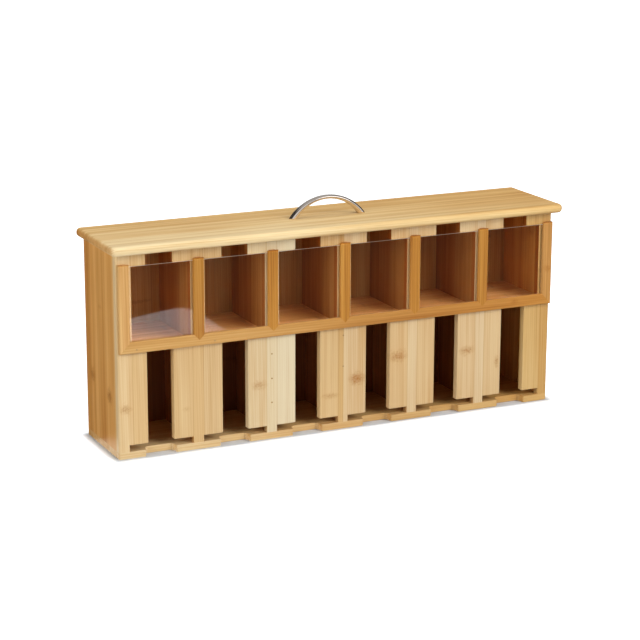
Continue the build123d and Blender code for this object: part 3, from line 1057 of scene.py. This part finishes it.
@dataclass
class FrontPlanks(Dresser):
    """The seven upright planks, each sawn from its own board."""

    inside: str = "B98250"        # painted shade on the edges and backs beside the windows

    def finish(self) -> None:
        """Dress each plank with its own strips and knuckle marks."""
        planks = (
            (("E6CD9E", "DEBF8D", "CFA46C"), (Strip(-270), Strip(-236, "F8F2E8")),
             (Knuckle(-243.8, 52.9, 14, 6, 0.5),)),
            (("DDC494", "D4B483", "C69D66"),
             (Strip(-200, "FFFBF4"), Strip(-170.5, "FFFAF0"), Strip(-158.8)),
             (Knuckle(-178, 45, 10, 3, 0.2),)),
            (("E2D3B2", "DCCAA6", "D0B184"),
             (Strip(-120, "FCF4E8"), Strip(-88.2, "FFFDF9"), Strip(-76.5)),
             (Knuckle(-96.6, 60, 18, 6, 0.5),)),
            (("E1C99C", "D8BB8F", "CBA26C"),
             (Strip(-40, "FAF2E2"), Strip(-5.8, "F2E2C4"), Strip(0.2)),
             (Knuckle(16.6, 53.5, 20, 8, 0.85), Knuckle(-15, 38.4, 22, 4, 0.4))),
            (("E3CCA1", "DBBE92", "CEA571"),
             (Strip(40, "FAF2E4"), Strip(76.5), Strip(88.2, "FBF5EA")),
             (Knuckle(65.3, 72.2, 22, 8, 0.65),)),
            (("E2CCA3", "DBC096", "CDA775"),
             (Strip(120, "FDF8F0"), Strip(158.8), Strip(170.5, "FBF4E8")),
             (Knuckle(149.5, 68.9, 20, 6, 0.6), Knuckle(187, 52, 6, 8, 0.5))),
            (("DCBF8A", "D1AD71", "BD9254"), (Strip(200, "FFFBF4"), Strip(241, "F6E8D2")),
             (Knuckle(234, 150, 10, 3, 0.2),)),
        )
        self.dress_boards({
            f"front_plank_{n}": BambooFinish(
                f"bamboo_plank_{n}_lacquered", Grain.ALONG_Z, tones, 20.0 + 1.7 * n, strips,
                marks, inside=self.inside, inside_low=SILL,
            )
            for n, (tones, strips, marks) in enumerate(planks, start=1)
        })


@dataclass
class WindowFrame(Dresser):
    """Rail, stiles and clear panes, with the brads through rail and planks."""

    pane_count: int = 6
    brads: Fasteners = Fasteners(0.9 * MM, 0.8 * MM, 0.5 * MM)

    def finish(self) -> None:
        """Dress rail, stiles and panes. Rail and stiles are of one strip each."""
        self.dress_boards({
            "window_rail": BambooFinish(
                "bamboo_rail_lacquered", Grain.ALONG_X, ("D6AC6C", "C99854", "B07A39"), 31.0,
                (Strip(60), Strip(140)), (Knuckle(118.5, 205, 7, 5, 0.5),), strip_axis=2,
                streak_width=4.0, drift="EDD2A2",
            ),
        })
        tones = (
            ("DEB474", "D2A060", "B8803E"), ("C28C3E", "B0762C", "945A1C"),
            ("CC9645", "BC8030", "9E621E"), ("CE9846", "BE8233", "A06420"),
            ("CA9242", "B87C2F", "9A5E1D"), ("CA9645", "BA7E31", "9C6020"),
            ("D4A462", "C48E4C", "A67032"),
        )
        marks = {2: (Knuckle(-163, 130, 7, 5, 0.4),), 7: (Knuckle(246, 152, 12, 5, 0.6),)}
        self.dress_boards({
            f"window_stile_{n}": BambooFinish(
                f"bamboo_stile_{n}_lacquered", Grain.ALONG_Z, own_tones, 40.0 + 1.3 * n,
                (Strip(-300), Strip(290)), marks.get(n, ()), streak_width=3.5,
            )
            for n, own_tones in enumerate(tones, start=1)
        })
        panes = [f"window_pane_{n}" for n in range(1, self.pane_count + 1)]
        self.dress(panes, AcrylicFinish().material())

    def build_brads(self, finish: Material) -> None:
        """Build the brads in the planks and in the rail.

        Args:
            finish: the steel of the brads.
        """
        tree = self.brads.brad_tree()
        third, fourth, left = -COLUMN_PITCH, 0.0, -HALF_CASE  # mm, planks and the case's end
        plank_spots = [(third, 92.4), (third, 65.8), (third, 39.8), (fourth, 102.8),
                       (fourth, 69.0)]
        rail_spots = [(left + 19.2, 115.5), (left + 103.9, 115.5)]
        for name, spots, node in (
            ("plank_brad_set", plank_spots, "plank_brads"),
            ("rail_brad_set", rail_spots, "rail_brads"),
        ):
            low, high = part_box(node)
            places = [(x * MM, low.y, z * MM) for x, z in spots]
            values = self.brads.sized({"Length": high.y - low.y, "Finish": finish})
            NodePiece(name, "case", (node,), "brad_steel").make(tree, values, places)


@dataclass
class Lid(Dresser):
    """The lid board, its bow handle and the two screws that hold the bow."""

    screw_inset: float = 4.2 * MM  # from the bow's tips
    screws: Fasteners = Fasteners(2.5 * MM, 1.25 * MM, 1.25 * MM)

    def finish(self) -> None:
        """Dress the lid board."""
        self.dress_boards({
            "lid": BambooFinish(
                "bamboo_lid_lacquered", Grain.ALONG_X, ("FBE9BE", "ECD2A0", "D0A66A"), 50.0,
                (Strip(-80), Strip(-44, "FCF6EC"), Strip(-24, "FAF0DE"), Strip(-4, "FBF2E2"),
                 Strip(14, "F0DEBC"), Strip(21, "F8EBD4"), Strip(36, "F0DCB6")),
                strip_axis=1, streak_width=7.0, cut_end="E0BA84", drift="EEDEC0",
                gloss_low=0.5, gloss_high=0.62,
            ),
        })

    def build_handle(self, chrome: Material, steel: Material) -> None:
        """Build the bow and its screws.

        Args:
            chrome: finish of the bow.
            steel: finish of the screws.
        """
        BowHandle().build(chrome)
        low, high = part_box("handle_screws")
        bow_low, bow_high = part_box("handle")
        middle = (bow_low.y + bow_high.y) / 2
        places = [
            (bow_low.x + self.screw_inset, middle, low.z),
            (bow_high.x - self.screw_inset, middle, low.z),
        ]
        piece = NodePiece("handle_screw_pair", "lid", ("handle_screws",), "screw_steel")
        values = self.screws.sized(
            {"Length": high.z - low.z, "Turn over": 1.0, "Seed": 4.0, "Finish": steel}
        )
        piece.make(self.screws.screw_tree(), values, places)


@dataclass
class Hinges(Dresser):
    """Two brass butt hinges with their pins and screws."""

    offset: float = 150.0 * MM
    screw_spacing: float = 15.0 * MM
    screws: Fasteners = Fasteners(1.6 * MM, 0.7 * MM, 0.8 * MM)

    def finish(self, brass: Material) -> None:
        """Dress leaves and pins."""
        parts = [f"hinge_{part}" for part in ("case_leaf", "lid_leaf", "pin")]
        self.dress([f"{side}_{part}" for side in ("left", "right") for part in parts], brass)

    def build_screws(self, finish: Material) -> None:
        """Build the screws of both leaves.

        Args:
            finish: finish of the screws.
        """
        tree = self.screws.screw_tree()
        for name, body, node, turned in (
            ("hinge_case_screw_set", "case", "hinge_case_screws", 0.0),
            ("hinge_lid_screw_set", "lid", "hinge_lid_screws", 1.0),
        ):
            low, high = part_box(node)
            middle = (low.y + high.y) / 2
            face = low.z if turned else high.z
            places = [
                (side * self.offset + way * self.screw_spacing / 2, middle, face)
                for side in (-1, 1)
                for way in (-1, 1)
            ]
            values = self.screws.sized(
                {"Length": high.z - low.z, "Turn over": turned, "Seed": 2.0, "Finish": finish}
            )
            NodePiece(name, body, (node,), "hinge_brass").make(tree, values, places)


# ------------------------------------------------------------------ studio
@dataclass(frozen=True)
class Softbox:
    """A square lamp behind a diffuser. Mirrors show the room's cards in its stead."""

    name: str
    place: Point
    size: float
    watts: float
    tint: str = PLAIN
    aim: Point = (0.0, 0.0, 0.1)

    def build(self) -> None:
        """Put the lamp in the scene."""
        lamp = bpy.data.lights.new(self.name, "AREA")
        lamp.shape = "SQUARE"
        lamp.size = self.size
        lamp.energy = self.watts
        lamp.color = linear(self.tint)[:3]
        thing = link_object(self.name, lamp)
        thing.visible_glossy = False
        thing.location = self.place
        way = Vector(self.aim) - Vector(self.place)
        thing.rotation_euler = way.to_track_quat("-Z", "Y").to_euler()
        log.info("lamp %s: %.1f W", self.name, self.watts)


@dataclass(frozen=True)
class Card:
    """A bright part of the room, as polished metal mirrors it.

    towards: direction from the box to the card's middle.
    half_angle, soft: degrees from its middle to its edge, and the width of its soft edge.
    strength: its brightness.
    """

    towards: Point
    half_angle: float
    soft: float
    strength: float


@dataclass
class Studio:
    """White sweep, soft lamps, even surround and the camera."""

    floor_half: float = 14.0
    floor_steps: int = 8
    floor_drop: float = 0.05 * MM  # the box stands just clear of the sweep
    lamps: tuple[Softbox, ...] = (
        Softbox("key_softbox", (1.35, -2.0, 1.35), 1.5, 52.0, "FFFCF8"),
        Softbox("left_softbox", (-2.0, -0.9, 0.9), 1.2, 25.0, "FFFAF4"),
        Softbox("top_softbox", (0.0, 0.1, 2.0), 1.4, 15.0),
    )
    surround: float = 0.13        # strength of the even light from all round
    room_level: float = 0.05      # what mirrors show of the room between its cards
    cards: tuple[Card, ...] = (
        Card((0.45, 0.85, 0.25), 14.0, 10.0, 0.5),   # backdrop, back right
        Card((0.35, 0.65, 0.65), 26.0, 14.0, 0.36),  # grey ceiling behind the box
        Card((-0.1, -0.9, 0.35), 22.0, 14.0, 0.75),  # pale wall behind the camera
        Card((0.74, -0.65, 0.0), 14.0, 10.0, 0.9),   # white card, front right
        Card((0.0, 0.0, 1.0), 24.0, 16.0, 0.45),     # white ceiling above the box
        Card((0.5, -0.75, 0.42), 14.0, 6.0, 2.4),    # diffuser of the key lamp, dimmed
    )
    camera_place: Point = (-0.9274, -1.9376, 0.6783)
    camera_yaw: float = 25.46     # degrees to the right of +Y
    camera_pitch: float = 14.864  # degrees down
    camera_roll: float = 0.181
    focal_px: float = 2075.2      # focal length in pixels
    frame_px: float = 640.0       # width of the frame that it is counted in
    sensor_mm: float = 36.0
    clip: tuple[float, float] = (0.05, 60.0)

    def build_floor(self) -> None:
        """Lay the sweep just under the box."""
        count = self.floor_steps + 1
        marks = [self.floor_half * (2 * n / self.floor_steps - 1) for n in range(count)]
        points = [(x, y, -self.floor_drop) for y in marks for x in marks]
        steps = range(self.floor_steps)
        starts = [row * count + n for row in steps for n in steps]
        faces = [(n, n + 1, n + count + 1, n + count) for n in starts]
        mesh = bpy.data.meshes.new("floor")
        mesh.from_pydata(points, [], faces)
        mesh.materials.append(FloorFinish().material())
        link_object("floor", mesh)
        log.info("floor: %d faces", len(faces))

    def build_lights(self) -> None:
        """Place the lamps and the surround."""
        for lamp in self.lamps:
            lamp.build()
        world = bpy.data.worlds.new("white_surround")
        world.use_nodes = True
        tree = world.node_tree
        tree.nodes.clear()
        seen, mirrored = view_rays(tree)
        even = ranged(tree, seen, 0.0, 1.0, self.surround, 1.0)
        inputs = {0: mirrored, 2: even, 3: self._room(tree)}  # 2 and 3 are its number inputs
        strength = add(tree, "ShaderNodeMix", inputs, data_type="FLOAT").outputs[0]
        inputs = {"Color": linear(PLAIN), "Strength": strength}
        light = add(tree, "ShaderNodeBackground", inputs).outputs[0]
        add(tree, "ShaderNodeOutputWorld", {"Surface": light})
        bpy.context.scene.world = world
        bpy.context.scene.view_settings.view_transform = "Standard"
        log.info("surround: %d cards", len(self.cards))

    def _room(self, tree: Tree) -> Socket:
        """Light up what mirrors show of the room: dark, with a white backdrop and cards.

        Args:
            tree: the world's node tree.

        Returns:
            The strength towards each direction.
        """
        towards = add(tree, "ShaderNodeTexCoord").outputs["Generated"]
        total = self.room_level
        for card in self.cards:
            middle = Vector(card.towards).normalized()
            facing = vector_maths(tree, "DOT_PRODUCT", towards, middle)
            outside = math.cos(math.radians(card.half_angle + card.soft))
            inside = math.cos(math.radians(card.half_angle))
            lit = ranged(tree, facing, outside, inside, 0.0, card.strength, smooth=True)
            total = maths(tree, "MAXIMUM", lit, total)
        return total

    def build_camera(self) -> None:
        """Stand the camera where the photograph was taken from."""
        lens = bpy.data.cameras.new("camera")
        lens.sensor_width = self.sensor_mm
        lens.lens = self.focal_px * self.sensor_mm / self.frame_px
        lens.clip_start, lens.clip_end = self.clip
        camera = link_object("camera", lens)
        aim = Euler((math.radians(90 - self.camera_pitch), 0.0, math.radians(-self.camera_yaw)))
        roll = Matrix.Rotation(math.radians(self.camera_roll), 3, "Z")
        camera.rotation_euler = (aim.to_matrix() @ roll).to_euler()
        camera.location = self.camera_place
        bpy.context.scene.camera = camera
        log.info("camera: %.1f mm lens", lens.lens)


def main() -> None:
    """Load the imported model, dress it, and build what the nodes leave to this script."""
    logging.basicConfig(level=logging.INFO, format="%(name)s: %(message)s")
    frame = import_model()
    nodes = frame["nodes"]
    chrome = MetalFinish(
        "chrome_plated_steel", "EEE2D8", "E4D8CE", 0.05, 0.1, mark_width=0.5, bump=0.02
    ).material()
    brass = MetalFinish("drawn_brass", "D9B26A", "C69A52", 0.24, 0.38, bump=0.1).material()
    steel = MetalFinish("zinc_plated_steel", "C9C9C6", "B4B3AE", 0.28, 0.42).material()
    brad = MetalFinish("bronze_coated_steel_wire", "C4A272", "A88454", 0.45, 0.6).material()
    studio = Studio()
    studio.build_camera()
    CaseShell(nodes).finish()
    FrontPlanks(nodes).finish()
    windows = WindowFrame(nodes)
    windows.finish()
    windows.build_brads(brad)
    lid = Lid(nodes)
    lid.finish()
    lid.build_handle(chrome, steel)
    hinges = Hinges(nodes)
    hinges.finish(brass)
    hinges.build_screws(brass)
    studio.build_floor()
    studio.build_lights()


if __name__ == "__main__":
    main()
